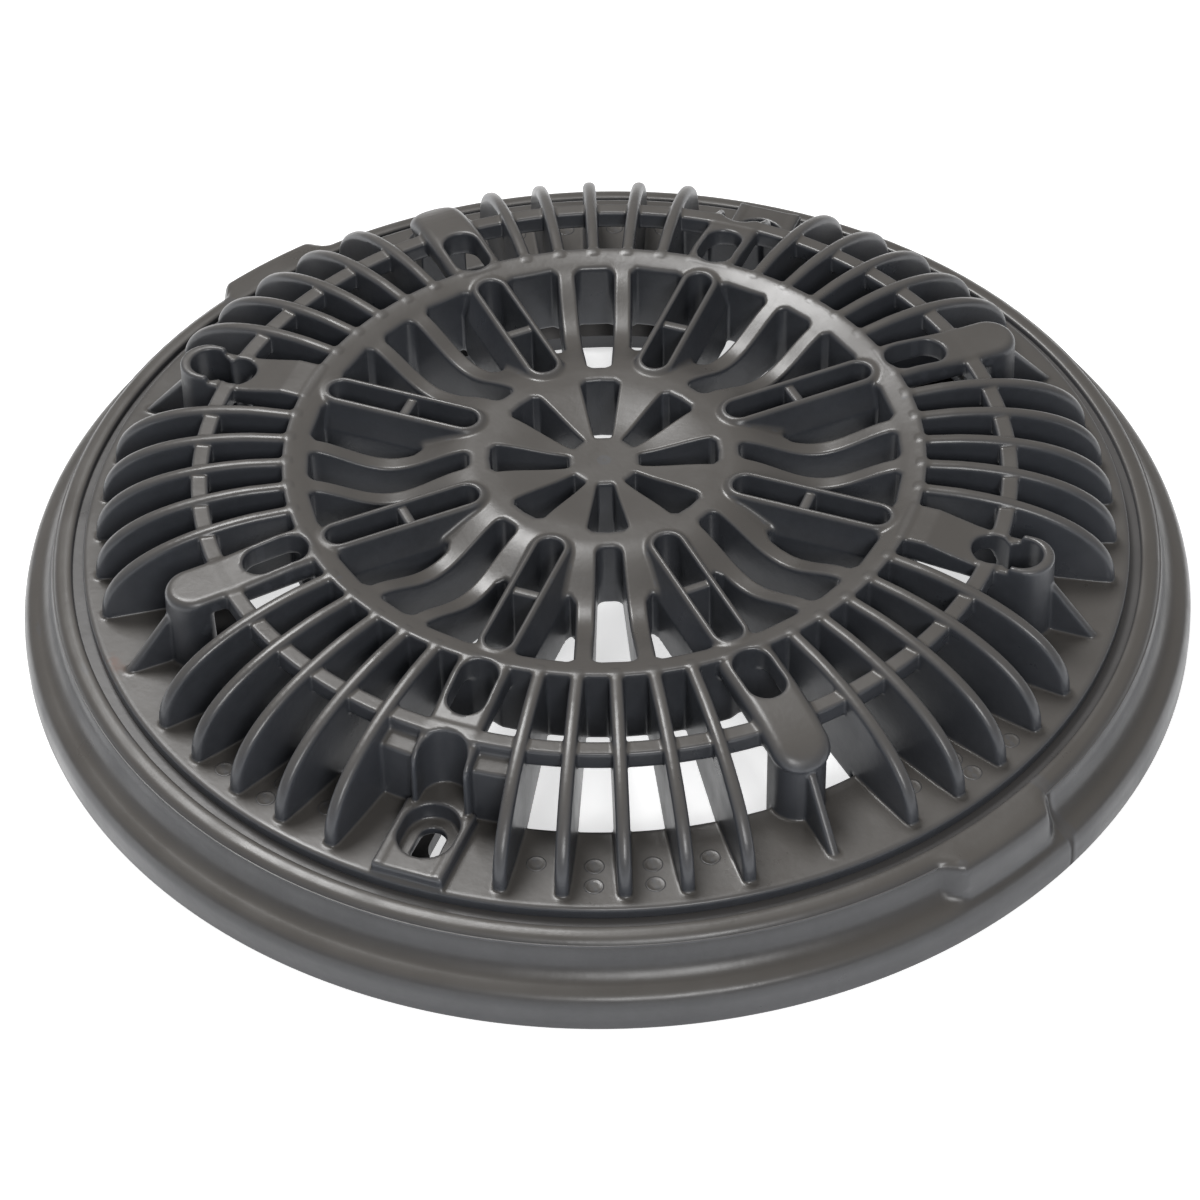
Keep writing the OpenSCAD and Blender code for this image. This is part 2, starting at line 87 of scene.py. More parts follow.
# Ejector pin marks: radius of a mark, its height, and the radii of the two rows
PIN_MARK_R, PIN_MARK_H = 2.3, 0.09
PIN_ROW_1, PIN_ROW_2 = 115.4, 121.4
# Lugs on the frame's rim, degrees
LUG_ANGLE, LUG_HALF = 61, 6.2


# ------------------------------------------------------------------ distance helpers
def join(a, b, k):
    """Union of two distance fields with a fillet of radius k."""
    return np.maximum(k, np.minimum(a, b)) - np.sqrt(
        np.maximum(k - a, 0) ** 2 + np.maximum(k - b, 0) ** 2)


def keep(a, b, k):
    """Intersection of two distance fields with an edge rounded to radius k."""
    return np.minimum(-k, np.maximum(a, b)) + np.sqrt(
        np.maximum(k + a, 0) ** 2 + np.maximum(k + b, 0) ** 2)


def polygon(px, py, points):
    """Signed distance to a closed outline."""
    d = np.full(np.broadcast(px, py).shape, 1e9)
    inside = np.zeros(d.shape, bool)
    n = len(points)
    for i in range(n):
        ax, ay = points[i]
        bx, by = points[(i + 1) % n]
        ex, ey = bx - ax, by - ay
        wx, wy = px - ax, py - ay
        t = np.clip((wx * ex + wy * ey) / max(ex * ex + ey * ey, 1e-12), 0, 1)
        d = np.minimum(d, (wx - ex * t) ** 2 + (wy - ey * t) ** 2)
        if ay != by:
            inside ^= ((ay > py) != (by > py)) & (px < ex * (py - ay) / ey + ax)
    return np.where(inside, -1.0, 1.0) * np.sqrt(d)


def stadium(x, y, x0, x1, half):
    """Signed distance to a slot with round ends from x0 to x1."""
    return np.hypot(x - np.clip(x, x0 + half, x1 - half), y) - half


def ease(t):
    t = np.clip(t, 0, 1)
    return t * t * (3 - 2 * t)


def star_top(r):
    """Height of the star grille at a radius."""
    hub = HUB_Z + (INNER_Z - HUB_Z) * ease((r - HUB_R) / (INNER_1 - HUB_R))
    outer = INNER_Z + (TOP - INNER_Z) * ease((r - 70) / 8)
    t = np.clip((r - 31) / 43, 0, 1)
    return np.where(r < INNER_1, hub, outer - DIP * np.sin(math.pi * t) ** 2)


def rib_top(r):
    """Height of a rib's back: a little fuller than a quarter ellipse."""
    return FLANGE_TOP + (TOP - FLANGE_TOP) * np.clip(
        1 - np.clip((r - RING_R) / (FOOT_R - RING_R), 0, 1) ** RIB_FULL, 0, 1) ** (1 / RIB_FULL)



RIB_SIDE = [(76.0, TOP - 0.5), (RING_R + 0.4, TOP - 0.16)] + [
    (RING_R + (FOOT_R - RING_R) * math.cos(a) ** (2 / RIB_FULL),
     FLANGE_TOP + (TOP - FLANGE_TOP) * math.sin(a) ** (2 / RIB_FULL))
    for a in [math.radians(82 - 82 * i / 26) for i in range(27)]] + [
    (FLANGE_IN, FLANGE_TOP - 1), (FLANGE_IN, FLANGE_BOT), (102.5, FLANGE_BOT),
    (RING_R, GRILLE_BOT), (76.0, GRILLE_BOT)]


# ------------------------------------------------------------------ the cover's shape
def star_plan(u, v):
    """Outline of the star grille's open slots; u, v run along the bay's middle."""
    slot = polygon(u, v, [(34.9, -0.95), (69.4, -2.9), (69.4, 2.9), (34.9, 0.95)]) - 2.1
    k = 2.2 / (STAR_R - INNER_2)

    def edge(r):
        return 3.0 + k * (r - INNER_2) + 4.6
    side = polygon(u, v, [
        (46.6, edge(46.6) + 0.7), (69.6, edge(69.6) + 0.5), (70.3, edge(70.3) + 1.4),
        (68.0, 20.6), (66.4, 23.0), (45.4, 14.9), (45.2, edge(45.2) + 1.6)]) - 0.7
    window = polygon(u, v, [(9.4, -1.3), (25.8, -3.9), (26.6, -3.2), (26.9, 0.0), (26.6, 3.2),
                            (25.8, 3.9), (9.4, 1.3)]) - 0.8
    return np.minimum(np.minimum(slot, side), window)


def boss_shape(kind, x, y, z, r, t):
    """Distance to one boss. Kinds: 1 screw well, 2 blank, 3 slotted hole, 4 round."""
    ay = np.abs(y)
    draft = np.clip((TOP - z) * 0.03, 0, 0.5)
    if kind == 1:
        side = polygon(x, z, [(76, 38.8), (76, 44.5), (79, 44.8), (83, 44.8), (92, 42.6),
                              (98, 41.5), (103.0, 41.5), (103.7, 43.1),
                              (BOSS_END + 4, 43.1), (BOSS_END + 4, FLANGE_BOT),
                              (97.6, FLANGE_BOT), (97.6, 34), (HOOP[0], HOOP[2])])
        plan = np.where(x > BOSS_C, np.hypot(x - BOSS_C, y), ay) - BOSS_HALF - draft
        boss = keep(side, plan, 0.8)
    elif kind == 2:
        side = polygon(x, z, [(76, 38.8), (76, 44.5), (79, 44.8), (83, 44.7), (90, 43.8),
                              (97, 42.9), (108, 42.4), (BOSS_END + 4, 42.0),
                              (BOSS_END + 4, FLANGE_BOT), (BOSS_C - 3, FLANGE_BOT),
                              (BOSS_C - 3, HOOP[2]), (HOOP[0], HOOP[2])])
        plan = np.where(x > BOSS_C, np.hypot(x - BOSS_C, y), ay) - BOSS_HALF - draft
        boss = keep(side, plan, 1.9)
    elif kind == 4:
        arc = [(88 + 24.8 * math.sin(a), 36.9 + 8.0 * math.cos(a)) for a in
               [math.radians(90 * i / 14) for i in range(15)]]
        side = polygon(x, z, [(76, 38.8), (76, 44.5), (79, 44.8), (83, 44.8)] + arc + [
            (98, 36.9), (96, HOOP[2]), (HOOP[0], HOOP[2])])
        cap = np.where(x > BOSS_C - 0.4, np.hypot(x - BOSS_C + 0.4, y), ay) - BOSS_HALF - 0.5
        boss = keep(side, cap, 2.6)
        plan = np.where(x > BOSS_C - 0.6, np.hypot(x - BOSS_C + 0.6, y), ay) - BOSS_HALF + 0.3
        column = np.maximum(np.maximum(plan, z - 38.5), np.maximum(FLANGE_BOT - z, 101.5 - x))
        boss = join(boss, column, 0.3)
    else:
        neck = keep(polygon(x, z, [(76, 38.8), (76, 44.5), (79, 44.8), (83, 44.7), (90, 43.4),
                                   (96, 42.2), (100, 41.4), (100, HOOP[2]), (HOOP[0], HOOP[2])]),
                    ay - BOSS_HALF - draft, 1.8)
        hood = keep(polygon(x, z, [(96.7, FLANGE_BOT), (96.7, 42.0), (99, 41.6), (102, 40.8),
                                   (104.6, 39.7), (106.2, 38.2), (CHAN_END, 36.2),
                                   (CHAN_END + 0.3, FLANGE_BOT)]),
                    ay - CHAN_OUT - 0.6 * draft, 1.3)
        boss = join(neck, hood, 1.2)
        wing = np.maximum(np.maximum(r - FLANGE_IN + 0.1, HOOP[1] - 1.2 - r),
                          np.maximum(z - HOOP[2] - 1.4 + np.clip((r - HOOP[1]) * 0.35, 0, 3),
                                     FLANGE_BOT - z))
        wing = np.maximum(wing, (np.abs(t) - math.radians(9.5)) * r)
        boss = join(boss, wing, 0.5)
        pad = keep(np.maximum(np.maximum(105.5 - x, x - 127.2), ay - 8.5),
                   np.maximum(z - PAD_TOP, FLANGE_BOT - z), 0.7)
        boss = join(boss, pad, 0.5)
    return boss


def boss_cut(kind, x, y, z):
    """Distance to what is cut out at one boss."""
    ay = np.abs(y)
    if kind == 1:
        well = join(np.hypot(x - WELL_R, y) - 5.0, np.hypot(x - WELL_R + 7.2, y) - 4.8, 0.4)
        well = np.maximum(well, WELL_FLOOR - z)
        return np.minimum(well, np.maximum(np.hypot(x - WELL_R, y) - 2.9, z - 30))
    slot = stadium(x, y, 77.0, 93.0, 4.5)
    if kind != 3:
        return slot
    xc = CHAN_R + CHAN_HALF
    channel = np.maximum(np.where(x < xc, np.hypot(x - xc, y), ay) - CHAN_HALF, PAD_TOP - z)
    bore = np.maximum(stadium(x, y, 105.6, 122.0, 6.5), FLANGE_BOT + 2.0 - z)
    hole = stadium(x, y, HOLE_R - 5.5, HOLE_R + 5.5, 3.2)
    return np.minimum(np.minimum(slot, channel), np.minimum(bore, hole))


def field(r, t, z, kind):
    """Distance to the cover's surface; t is the angle from the boss, folded into half a bay."""
    half = BAY / 2
    t = half - np.abs(half - np.abs(t))
    x, y = r * np.cos(t), r * np.sin(t)
    u, v = r * np.cos(half - t), r * np.sin(half - t)
    top = star_top(r)
    star = keep((z - top) * 0.93, GRILLE_BOT - z, 0.6)
    star = keep(star, -star_plan(u, v), 0.85)
    star = keep(star, r - RING_R, 0.7)
    # Long cup on the boss's line
    cup_slot = stadium(x, y, 33.2, 72.2, 3.2)
    fall = np.clip((CUP_TOP - z) / 7.4, 0, 1.05)
    wall = 1.55 + 2.2 * fall ** 1.35
    cup = np.maximum(cup_slot - wall, np.maximum(-x, GRILLE_BOT - 0.3 - z)) * 0.95
    cup = keep(cup, z - CUP_TOP, 1.0)
    body = join(star, cup, 1.1)
    body = keep(body, -cup_slot, 0.75)
    bar = keep(np.maximum(np.abs(x - 51.6) - 1.3, np.abs(y) - 4.0),
               np.maximum(z - (CUP_TOP - 1.2), GRILLE_BOT - 0.3 - z), 0.5)
    body = join(body, bar, 0.5)
    # Ribs
    side = polygon(r, z, RIB_SIDE)
    width = RIB_HALF + 0.1 + 0.012 * np.clip(rib_top(r) - z, 0, 20)
    phi = half - t
    near = np.minimum(np.minimum(r * np.abs(np.sin(phi)),
                                 r * np.abs(np.sin(phi - math.radians(RIB_PITCH)))),
                      r * np.abs(np.sin(phi - math.radians(2 * RIB_PITCH))))
    ribs = keep(side, near - width, 1.35)
    hoop = keep(np.maximum(HOOP[0] - r, r - HOOP[1]), np.maximum(HOOP[2] - z, z - HOOP[3]), 0.6)
    flange = keep(np.maximum(FLANGE_IN - r, r - COVER_R),
                  np.maximum(FLANGE_BOT - z, z - FLANGE_TOP), 0.9)
    body = join(body, ribs, 0.9)
    body = join(body, hoop, 0.45)
    body = join(body, flange, 0.7)
    body = join(body, boss_shape(kind, x, y, z, r, t), 0.8)
    if kind != 3:
        fin = keep(polygon(x, z, [(BOSS_C, FLANGE_BOT + 1), (BOSS_C, 38.4), (BOSS_END - 0.3, 36.6),
                                  (FOOT_R - 0.4, FLANGE_TOP), (FOOT_R - 1, FLANGE_BOT + 1)]),
                   np.abs(y) - 1.15, 0.9)
        body = join(body, fin, 0.5)
    return keep(body, -boss_cut(kind, x, y, z), 0.8 if kind != 1 else 0.6)


# ------------------------------------------------------------------ surface from a distance field
def half_sector(kind):
    """Half a bay of the cover's surface: vertices, faces, and which vertices lie on the boss's plane."""
    n_t = CELLS
    dt = BAY / 2 / n_t
    rs = 0.4 + STEP * np.arange(int((COVER_R + 1.6) / STEP) + 2)
    ts = dt * (np.arange(n_t + 2) - 0.5)
    zs = FLANGE_BOT - 1.2 + STEP * np.arange(int((TOP - FLANGE_BOT + 2.6) / STEP) + 2)
    f = field(rs[:, None, None], ts[None, :, None], zs[None, None, :], kind)
    s = f < 0
    nx, ny, nz = f.shape
    count = sum(s[i:nx - 1 + i, j:ny - 1 + j, k:nz - 1 + k].astype(np.int8)
                for i in (0, 1) for j in (0, 1) for k in (0, 1))
    live = (count > 0) & (count < 8)
    index = np.full(live.shape, -1, np.int64)
    index[live] = np.arange(live.sum())
    ci, cj, ck = np.nonzero(live)
    place, hits = np.zeros((len(ci), 3)), np.zeros(len(ci))
    corners = [(i, j, k) for i in (0, 1) for j in (0, 1) for k in (0, 1)]
    for a in corners:
        for axis in range(3):
            if a[axis]:
                continue
            b = list(a)
            b[axis] = 1
            fa = f[ci + a[0], cj + a[1], ck + a[2]]
            fb = f[ci + b[0], cj + b[1], ck + b[2]]
            m = (fa < 0) != (fb < 0)
            w = np.where(m, fa / np.where(m, fa - fb, 1), 0)
            p = np.array(a, float)[None, :] + w[:, None] * (np.array(b) - np.array(a))[None, :]
            place[m] += p[m]
            hits[m] += 1
    place /= hits[:, None]
    r = rs[0] + STEP * (ci + place[:, 0])
    t = ts[0] + dt * (cj + place[:, 1])
    z = zs[0] + STEP * (ck + place[:, 2])
    on_boss, on_mid = cj == 0, cj == ny - 2
    t[on_boss] = 0
    t[on_mid] = BAY / 2
    quads = []
    for axis in range(3):
        o1, o2 = [(1, 2), (2, 0), (0, 1)][axis]
        lo = [slice(1, n - 1) for n in (nx, ny, nz)]
        hi = list(lo)
        lo[axis], hi[axis] = slice(0, f.shape[axis] - 1), slice(1, f.shape[axis])
        a, b = s[tuple(lo)], s[tuple(hi)]
        i, j, k = np.nonzero(a != b)
        e = np.stack([i, j, k], 1)
        for ax in range(3):
            if ax != axis:
                e[:, ax] += 1
        cells = []
        for d1, d2 in ((1, 1), (0, 1), (0, 0), (1, 0)):
            c = e.copy()
            c[:, o1] -= d1
            c[:, o2] -= d2
            cells.append(index[c[:, 0], c[:, 1], c[:, 2]])
        q = np.stack(cells, 1)
        flip = ~a[i, j, k]
        q[flip] = q[flip][:, ::-1]
        quads.append(q)
    quads = np.concatenate(quads)
    quads = quads[(quads >= 0).all(1)]
    r[ci == 0] = 0.0
    p = np.stack([r * np.cos(t), r * np.sin(t), z], 1)
    h = 0.04

    def at(q):
        return field(np.hypot(q[:, 0], q[:, 1]), np.arctan2(q[:, 1], q[:, 0]), q[:, 2], kind)

    def slope(q):
        return np.stack([at(q + np.eye(3)[a] * h) - at(q - np.eye(3)[a] * h)
                         for a in range(3)], 1) / (2 * h)

    for _ in range(2):
        g = slope(p)
        g[on_boss, 1] = 0
        n2 = np.maximum((g * g).sum(1), 0.3)
        move = -(at(p) / n2)[:, None] * g
        size = np.linalg.norm(move, axis=1)
        move *= np.minimum(1, 0.25 / np.maximum(size, 1e-9))[:, None]
        q = p + move
        q[on_boss, 1] = 0
        m = on_mid
        along = q[m, 0] * math.cos(BAY / 2) + q[m, 1] * math.sin(BAY / 2)
        q[m, 0], q[m, 1] = along * math.cos(BAY / 2), along * math.sin(BAY / 2)
        p = q
    return p, quads, on_boss


def mirrored(p, quads, on_boss):
    """Both halves of a sector, joined on the boss's plane."""
    other = np.arange(len(p))
    free = ~on_boss
    other[free] = len(p) + np.arange(free.sum())
    q = p[free] * np.array([1, -1, 1])
    return np.concatenate([p, q]), np.concatenate([quads, other[quads][:, ::-1]])


def turned(p, degrees):
    a = math.radians(degrees)
    return np.stack([p[:, 0] * math.cos(a) - p[:, 1] * math.sin(a),
                     p[:, 0] * math.sin(a) + p[:, 1] * math.cos(a), p[:, 2]], 1)


def mesh_piece(name, points, faces, material, body):
    """A piece from points in millimetres."""
    mesh = bpy.data.meshes.new(name)
    mesh.from_pydata((np.asarray(points, float) * MM).tolist(), [], [list(map(int, f)) for f in faces])
    mesh.update()
    mesh.polygons.foreach_set("use_smooth", [True] * len(mesh.polygons))
    obj = bpy.data.objects.new(name, mesh)
    bpy.context.scene.collection.objects.link(obj)
    mesh.materials.append(material)
    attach(obj, body)
    return obj


def part_of(points, faces, mask):
    """The faces under a mask with only their own vertices."""
    f = faces[mask]
    used = np.unique(f)
    back = np.full(len(points), -1)
    back[used] = np.arange(len(used))
    return points[used], back[f]


# ------------------------------------------------------------------ materials
def plastic(name, base, rough, body, rust=None):
    """Moulded plastic: mottled colour, uneven gloss, fine grain, painted top light on level faces."""
    m = bpy.data.materials.new(name)
    m.use_nodes = True
    n, l = m.node_tree.nodes, m.node_tree.links
    shader = n["Principled BSDF"]
    where = n.new("ShaderNodeTexCoord")
    where.object = frame["bodies"][body]

    def noise(scale, detail, rough_=0.55):
        k = n.new("ShaderNodeTexNoise")
        k.inputs["Scale"].default_value = scale
        k.inputs["Detail"].default_value = detail
        k.inputs["Roughness"].default_value = rough_
        l.new(where.outputs["Object"], k.inputs["Vector"])
        return k.outputs["Fac"]

    def ramp(source, a, b, va, vb):
        k = n.new("ShaderNodeMapRange")
        k.inputs["From Min"].default_value = a
        k.inputs["From Max"].default_value = b
        k.inputs["To Min"].default_value = va
        k.inputs["To Max"].default_value = vb
        l.new(source, k.inputs["Value"])
        return k.outputs["Result"]

    def mix(fac, a, b):
        k = n.new("ShaderNodeMix")
        k.data_type = "RGBA"
        if isinstance(fac, float):
            k.inputs["Factor"].default_value = fac
        else:
            l.new(fac, k.inputs["Factor"])
        for socket, value in ((k.inputs[6], a), (k.inputs[7], b)):
            if isinstance(value, tuple):
                socket.default_value = (*value, 1)
            else:
                l.new(value, socket)
        return k.outputs[2]

    cloud, grain = noise(22, 5), noise(420, 4, 0.7)
    dark = tuple(c * 0.84 for c in base)
    light = tuple(c * 1.16 for c in base)
    colour = mix(ramp(cloud, 0.35, 0.65, 0, 1), dark, light)
    colour = mix(ramp(grain, 0.3, 0.7, 0.0, 0.35), colour, tuple(c * 1.5 for c in base))
    # Painted top light: faces that look up are mixed toward a paler warm grey, as light falling from
    # above would make them
    geo = n.new("ShaderNodeNewGeometry")
    apart = n.new("ShaderNodeSeparateXYZ")
    l.new(geo.outputs["Normal"], apart.inputs["Vector"])
    painted_top_light = ramp(apart.outputs["Z"], 0.3, 0.95, 0.0, 0.85)
    colour = mix(painted_top_light, colour, PAINTED_TOP_LIGHT)
    # Convex edges a little paler
    edge = ramp(geo.outputs["Pointiness"], 0.505, 0.56, 0.0, 0.35)
    colour = mix(edge, colour, tuple(c * 1.9 for c in base))
    if rust:
        spot = n.new("ShaderNodeVectorMath")
        spot.operation = "DISTANCE"
        l.new(where.outputs["Object"], spot.inputs[0])
        spot.inputs[1].default_value = rust
        near = ramp(spot.outputs["Value"], 0.002, 0.008, 0.85, 0.0)
        patch = ramp(noise(300, 6), 0.44, 0.6, 0.0, 1.0)
        both = n.new("ShaderNodeMath")
        both.operation = "MULTIPLY"
        l.new(near, both.inputs[0])
        l.new(patch, both.inputs[1])
        colour = mix(both.outputs[0], colour, (0.12, 0.045, 0.02))
    l.new(colour, shader.inputs["Base Color"])
    l.new(ramp(noise(60, 6), 0.3, 0.7, rough - 0.07, rough + 0.1), shader.inputs["Roughness"])
    shader.inputs["Specular IOR Level"].default_value = 0.55
    fine = n.new("ShaderNodeBump")
    fine.inputs["Strength"].default_value = 0.12
    fine.inputs["Distance"].default_value = 0.0002
    l.new(noise(900, 3), fine.inputs["Height"])
    flow = n.new("ShaderNodeBump")
    flow.inputs["Strength"].default_value = 0.25
    flow.inputs["Distance"].default_value = 0.0006
    l.new(noise(70, 3), flow.inputs["Height"])
    l.new(fine.outputs["Normal"], flow.inputs["Normal"])
    l.new(flow.outputs["Normal"], shader.inputs["Normal"])
    return m


def metal(name, base, rough, scale):
    m = bpy.data.materials.new(name)
    m.use_nodes = True
    n, l = m.node_tree.nodes, m.node_tree.links
    shader = n["Principled BSDF"]
    where = n.new("ShaderNodeTexCoord")
    k = n.new("ShaderNodeTexNoise")
    k.inputs["Scale"].default_value = scale
    k.inputs["Detail"].default_value = 6
    l.new(where.outputs["Object"], k.inputs["Vector"])
    r = n.new("ShaderNodeMapRange")
    r.inputs["To Min"].default_value = rough - 0.08
    r.inputs["To Max"].default_value = rough + 0.16
    l.new(k.outputs["Fac"], r.inputs["Value"])
    l.new(r.outputs["Result"], shader.inputs["Roughness"])
    c = n.new("ShaderNodeMix")
    c.data_type = "RGBA"
    c.inputs[6].default_value = (*[v * 0.75 for v in base], 1)
    c.inputs[7].default_value = (*base, 1)
    l.new(k.outputs["Fac"], c.inputs["Factor"])
    l.new(c.outputs[2], shader.inputs["Base Color"])
    shader.inputs["Metallic"].default_value = 1.0
    b = n.new("ShaderNodeBump")
    b.inputs["Strength"].default_value = 0.2
    b.inputs["Distance"].default_value = 0.0001
    l.new(k.outputs["Fac"], b.inputs["Height"])
    l.new(b.outputs["Normal"], shader.inputs["Normal"])
    return m


# Paler warm grey painted on faces that look up: painted top light
PAINTED_TOP_LIGHT = (0.088, 0.080, 0.071)
# A small smear of rust in the gap between flange and rim
RUST_R, RUST_ANGLE = 129.6 * MM, math.radians(133)
cover_mat = plastic("cover_plastic", (0.040, 0.043, 0.050), 0.33, "cover",
                    rust=(RUST_R * math.cos(RUST_ANGLE), RUST_R * math.sin(RUST_ANGLE), 20.0 * MM))
frame_mat = plastic("frame_plastic", (0.040, 0.041, 0.045), 0.34, "frame")
steel = metal("screw_steel", (0.62, 0.62, 0.61), 0.3, 900)
brass = metal("insert_brass", (0.72, 0.5, 0.22), 0.32, 700)

# ------------------------------------------------------------------ cover
# Kind of boss at each angle, and again half a turn on
KINDS = {0: 3, 45: 4, 90: 1, 135: 2}
star_nodes = ["valley_spokes", "inner_ring", "hub_spokes", "hub_disc", "long_cups"]
wall_nodes = ["cover_flange", "slot_hole_pads", "tie_hoop", "top_ring", "screw_well_bosses",
              "blank_bosses", "slot_bosses", "round_bosses", "boss_buttresses"]
wall_nodes += ["side_ribs_%d" % i for i in range(1, 9)]
star_mesh = None
total = 0
for angle, kind in KINDS.items():
    p, quads, on_boss = half_sector(kind)
    far = np.hypot(p[:, 0], p[:, 1])[quads].mean(1) > SPLIT_R
    points, faces = mirrored(p, quads, on_boss)
    far = np.concatenate([far, far])
    if star_mesh is None:
        a, b = part_of(points, faces, ~far)
        first = mesh_piece("star_sector_1", a, b, cover_mat, "cover")
        star_mesh = first.data
        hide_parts(*star_nodes)
        total += len(b) * 8
    a, b = part_of(points, faces, far)
    total += len(b) * 2
    for turn in (0, 180):
        number = (angle + turn) // 45 + 1
        piece = mesh_piece("side_wall_%d" % number, turned(a, angle + turn), b, cover_mat, "cover")
        if number == 1:
            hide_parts(*wall_nodes)
for i in range(2, 9):
    piece = bpy.data.objects.new("star_sector_%d" % i, star_mesh)
    bpy.context.scene.collection.objects.link(piece)
    piece.rotation_euler = (0, 0, math.radians(45 * (i - 1)))
    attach(piece, "cover")
print("cover faces", total)


# Shallow discs that the mould's ejector pins leave on the flange, one to a gap between ribs
def discs(name, spots, radius, z, height):
    points, faces = [], []
    n = 28
    profile = [(radius, -0.2), (radius, height * 0.4), (radius - 0.2, height), (radius - 0.4, height),
               (radius - 0.6, height * 0.3), (radius * 0.45, height * 0.18), (0.12, height * 0.2)]
    for cx, cy in spots:
        base = len(points)
        for pr, pz in profile:
            for i in range(n):
                a = 2 * math.pi * i / n
                points.append((cx + pr * math.cos(a), cy + pr * math.sin(a), z + pz))
        for j in range(len(profile) - 1):
            for i in range(n):
                k = (i + 1) % n
                faces.append((base + j * n + i, base + j * n + k,
                              base + (j + 1) * n + k, base + (j + 1) * n + i))
        faces.append([base + (len(profile) - 1) * n + i for i in range(n)])
        faces.append([base + i for i in reversed(range(n))])
    return mesh_piece(name, points, faces, cover_mat, "cover")


pins = []
for k in range(8):
    for row, offsets in ((PIN_ROW_1, (-9.75, -3.25, 3.25, 9.75)), (PIN_ROW_2, (-3.25, 3.25))):
        for off in offsets:
            a = math.radians(22.5 + 45 * k + off)
            pins.append((row * math.cos(a), row * math.sin(a)))
discs("ejector_pin_marks", pins, PIN_MARK_R, FLANGE_TOP, PIN_MARK_H)


# ------------------------------------------------------------------ frame
def rounded(path, radii, steps=5):
    """A closed outline with each corner cut to a radius."""
    out = []
    n = len(path)
    for i in range(n):
        p, a, b = Vector(path[i]), Vector(path[i - 1]), Vector(path[(i + 1) % n])
        k = radii[i]
        da, db = (a - p).normalized(), (b - p).normalized()
        reach = min(k, (a - p).length * 0.49, (b - p).length * 0.49)
        if reach <= 0:
            out.append((p.x, p.y))
            continue
        s, e = p + da * reach, p + db * reach
        for j in range(steps + 1):
            t = j / steps
            q = s.lerp(p, t).lerp(p.lerp(e, t), t)
            out.append((q.x, q.y))
    return out


# Section of rim and brim, plain and through a lug, point for point: radius and height
plain = [(131.1, 4.0), (131.1, 18.0), (131.1, 19.8), (132.6, 20.1), (135.2, 19.6), (136.4, 17.4),
         (136.9, 14.6), (137.8, 12.3), (139.6, 10.6), (141.6, 9.9), (143.3, 8.9), (144.3, 6.6),
         (144.5, 3.6), (144.5, 0.0), (142.0, 0.0), (142.0, 4.0)]
lug = [(131.1, 4.0), (131.1, 18.0), (131.1, 19.8), (132.6, 20.0), (136.8, 19.8), (140.0, 19.2),
       (141.0, 16.8), (141.4, 13.6), (141.6, 11.2), (142.1, 9.9), (143.3, 8.9), (144.3, 6.6),
       (144.5, 3.6), (144.5, 0.0), (142.0, 0.0), (142.0, 4.0)]
radii = [0.3, 0.0, 0.9, 0.8, 1.3, 1.2, 1.2, 1.6, 1.4, 1.2, 1.2, 1.2, 0.8, 0.7, 0.4, 0.3]
plain_r, lug_r = rounded(plain, radii), rounded(lug, radii)
n_prof = len(plain_r)
angles = sorted(set([i * 0.6 for i in range(600)] + [
    LUG_ANGLE + base + side * (LUG_HALF + f) for base in (0, 180) for side in (-1, 1)
    for f in (-1.2, -0.9, -0.7, -0.45, -0.3, -0.15, 0.0, 0.15, 0.3, 0.45, 0.7, 0.9, 1.2)]))
points, faces = [], []
for deg in angles:
    off = min(abs((deg - LUG_ANGLE) % 180), 180 - abs((deg - LUG_ANGLE) % 180))
    w = float(ease(np.array((7.6 - off) / 2.6)))
    a = math.radians(deg)
    for (pr, pz), (lr, lz) in zip(plain_r, lug_r):
        r, z = pr + (lr - pr) * w, pz + (lz - pz) * w
        points.append((r * math.cos(a), r * math.sin(a), z))
n_ang = len(angles)
for i in range(n_ang):
    k = (i + 1) % n_ang
    for j in range(n_prof):
        m = (j + 1) % n_prof
        faces.append((i * n_prof + j, k * n_prof + j, k * n_prof + m, i * n_prof + m))
ring = mesh_piece("frame_rim_and_brim", points, [f[::-1] for f in faces], frame_mat, "frame")
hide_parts("frame_rim", "frame_brim", "frame_lugs")


def dress(name, material, width):
    """A CAD piece that is kept: its material, and a small round on its edges."""
    o = frame["nodes"][name]
    o.data.materials.clear()
    o.data.materials.append(material)
    bevel = o.modifiers.new("round", "BEVEL")
    bevel.width = width * MM
    bevel.segments = 3
    bevel.limit_method = "ANGLE"
    bevel.angle_limit = math.radians(35)
    bevel.harden_normals = True


for name in ("frame_ledge", "frame_wall", "frame_base", "screw_pillars"):
    dress(name, frame_mat, 0.4)
dress("screw_inserts", brass, 0.2)
dress("screw_a", steel, 0.2)
dress("screw_b", steel, 0.2)

# ------------------------------------------------------------------ floor and light
floor_mat = bpy.data.materials.new("pale_floor")
floor_mat.use_nodes = True
floor_mat.node_tree.nodes["Principled BSDF"].inputs["Base Color"].default_value = (0.9, 0.9, 0.9, 1)
floor_mat.node_tree.nodes["Principled BSDF"].inputs["Roughness"].default_value = 0.8
floor_mat.node_tree.nodes["Principled BSDF"].inputs["Emission Color"].default_value = (1, 1, 1, 1)
floor_mat.node_tree.nodes["Principled BSDF"].inputs["Emission Strength"].default_value = 0.62
floor_mesh = bpy.data.meshes.new("floor")
floor_mesh.from_pydata([(-4, -4, 0), (4, -4, 0), (4, 4, 0), (-4, 4, 0)], [], [(0, 1, 2, 3)])
floor_mesh.materials.append(floor_mat)
floor = bpy.data.objects.new("floor", floor_mesh)
bpy.context.scene.collection.objects.link(floor)

world = bpy.data.worlds.new("studio")
bpy.context.scene.world = world
world.use_nodes = True
world.node_tree.nodes["Background"].inputs["Color"].default_value = (1, 1, 1, 1)
world.node_tree.nodes["Background"].inputs["Strength"].default_value = 0.26


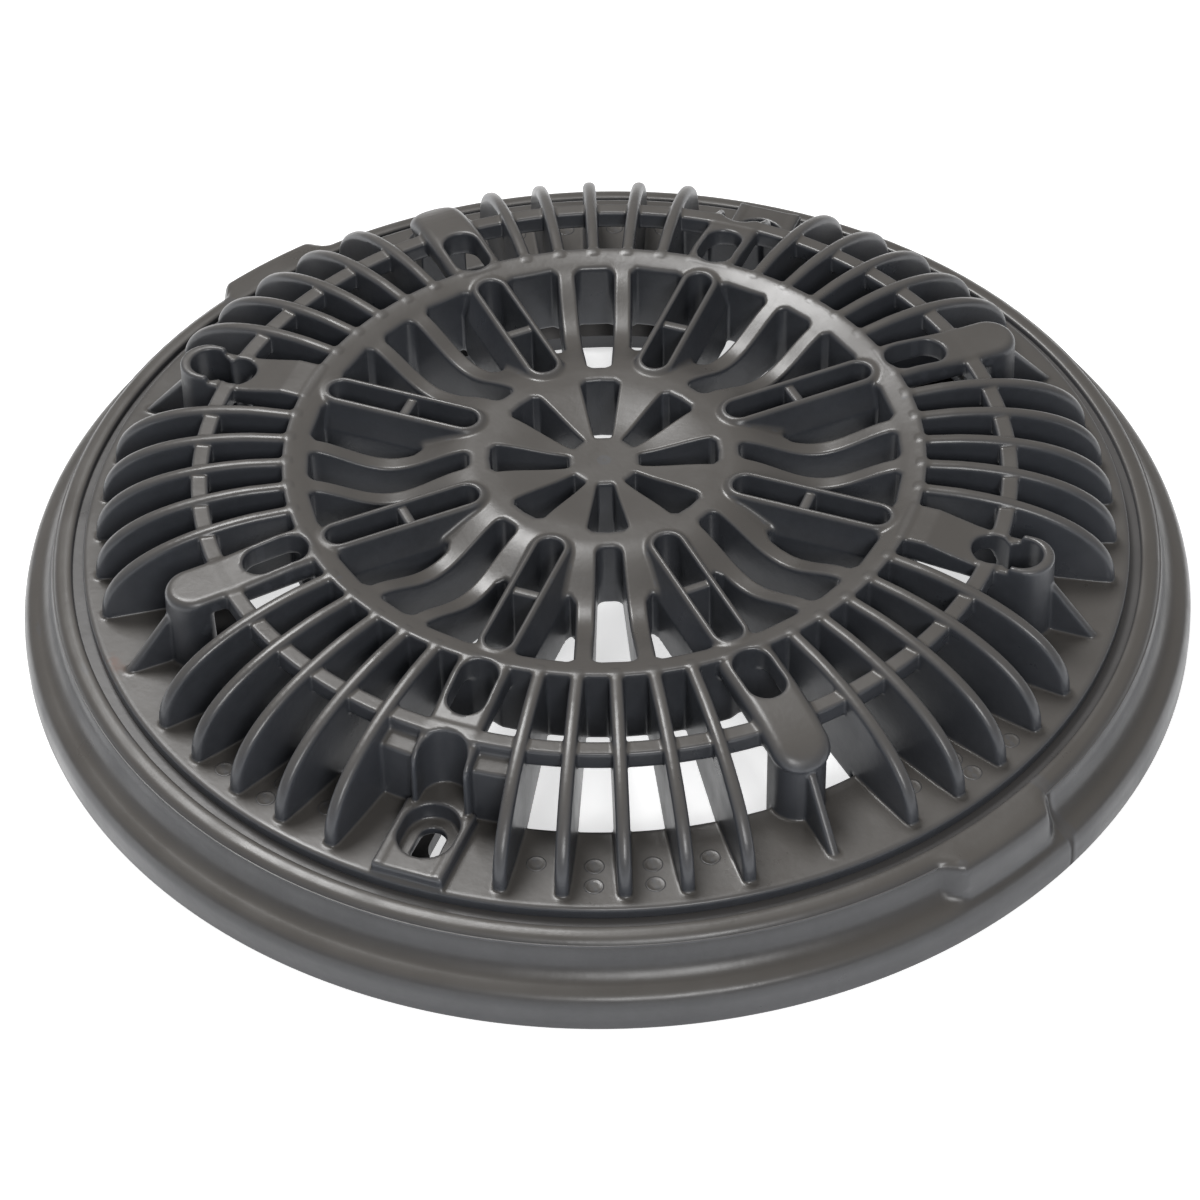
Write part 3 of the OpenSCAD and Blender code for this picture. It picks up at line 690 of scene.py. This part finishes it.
def lamp(name, place, size, power, aim=(0, 0, 0.03)):
    data = bpy.data.lights.new(name, "AREA")
    data.shape = "RECTANGLE"
    data.size, data.size_y = size
    data.energy = power
    o = bpy.data.objects.new(name, data)
    bpy.context.scene.collection.objects.link(o)
    o.location = place
    o.rotation_euler = (Vector(aim) - Vector(place)).to_track_quat("-Z", "Y").to_euler()
    return o


# ------------------------------------------------------------------ camera
YAW, ELEVATION, DISTANCE, ROLL = -1.218, 41.361, 0.9054, 1.212
LENS = 112.215
# The line of sight passes the aim by these slopes, to the right and up
PAST_RIGHT, PAST_UP = -0.00105, -0.0406
TURN = -67.5
aim = Vector((0, 0, TOP * MM))
a, e = math.radians(YAW), math.radians(ELEVATION)
spin = Matrix.Rotation(math.radians(TURN), 3, "Z")
back = spin @ Vector((math.sin(a) * math.cos(e), -math.cos(a) * math.cos(e), math.sin(e)))
right = spin @ Vector((math.cos(a), math.sin(a), 0))
up = back.cross(right)
q = math.radians(ROLL)
image_up = right * math.sin(q) + up * math.cos(q)
image_right = right * math.cos(q) - up * math.sin(q)
look = (-back + image_right * PAST_RIGHT + image_up * PAST_UP).normalized()
image_right = (image_right - look * image_right.dot(look)).normalized()
image_up = image_right.cross(look)
camera_data = bpy.data.cameras.new("camera")
camera_data.sensor_width = 36
camera_data.lens = LENS
camera_data.clip_start = 0.05
camera = bpy.data.objects.new("camera", camera_data)
bpy.context.scene.collection.objects.link(camera)
place = aim + back * DISTANCE
camera.matrix_world = Matrix((
    (image_right.x, image_up.x, -look.x, place.x),
    (image_right.y, image_up.y, -look.y, place.y),
    (image_right.z, image_up.z, -look.z, place.z),
    (0, 0, 0, 1)))
bpy.context.scene.camera = camera

side = spin @ Vector((1, 0, 0))
behind = spin @ Vector((0, 1, 0))
lamp("key", tuple(Vector((0, 0, 1.25)) + behind * 0.55 - side * 0.35), (0.55, 0.55), 15.5)
lamp("front", tuple(Vector((0, 0, 0.75)) - behind * 1.05 + side * 0.15), (0.4, 0.35), 7.0)

scene_view = bpy.context.scene.view_settings
scene_view.view_transform = "Standard"
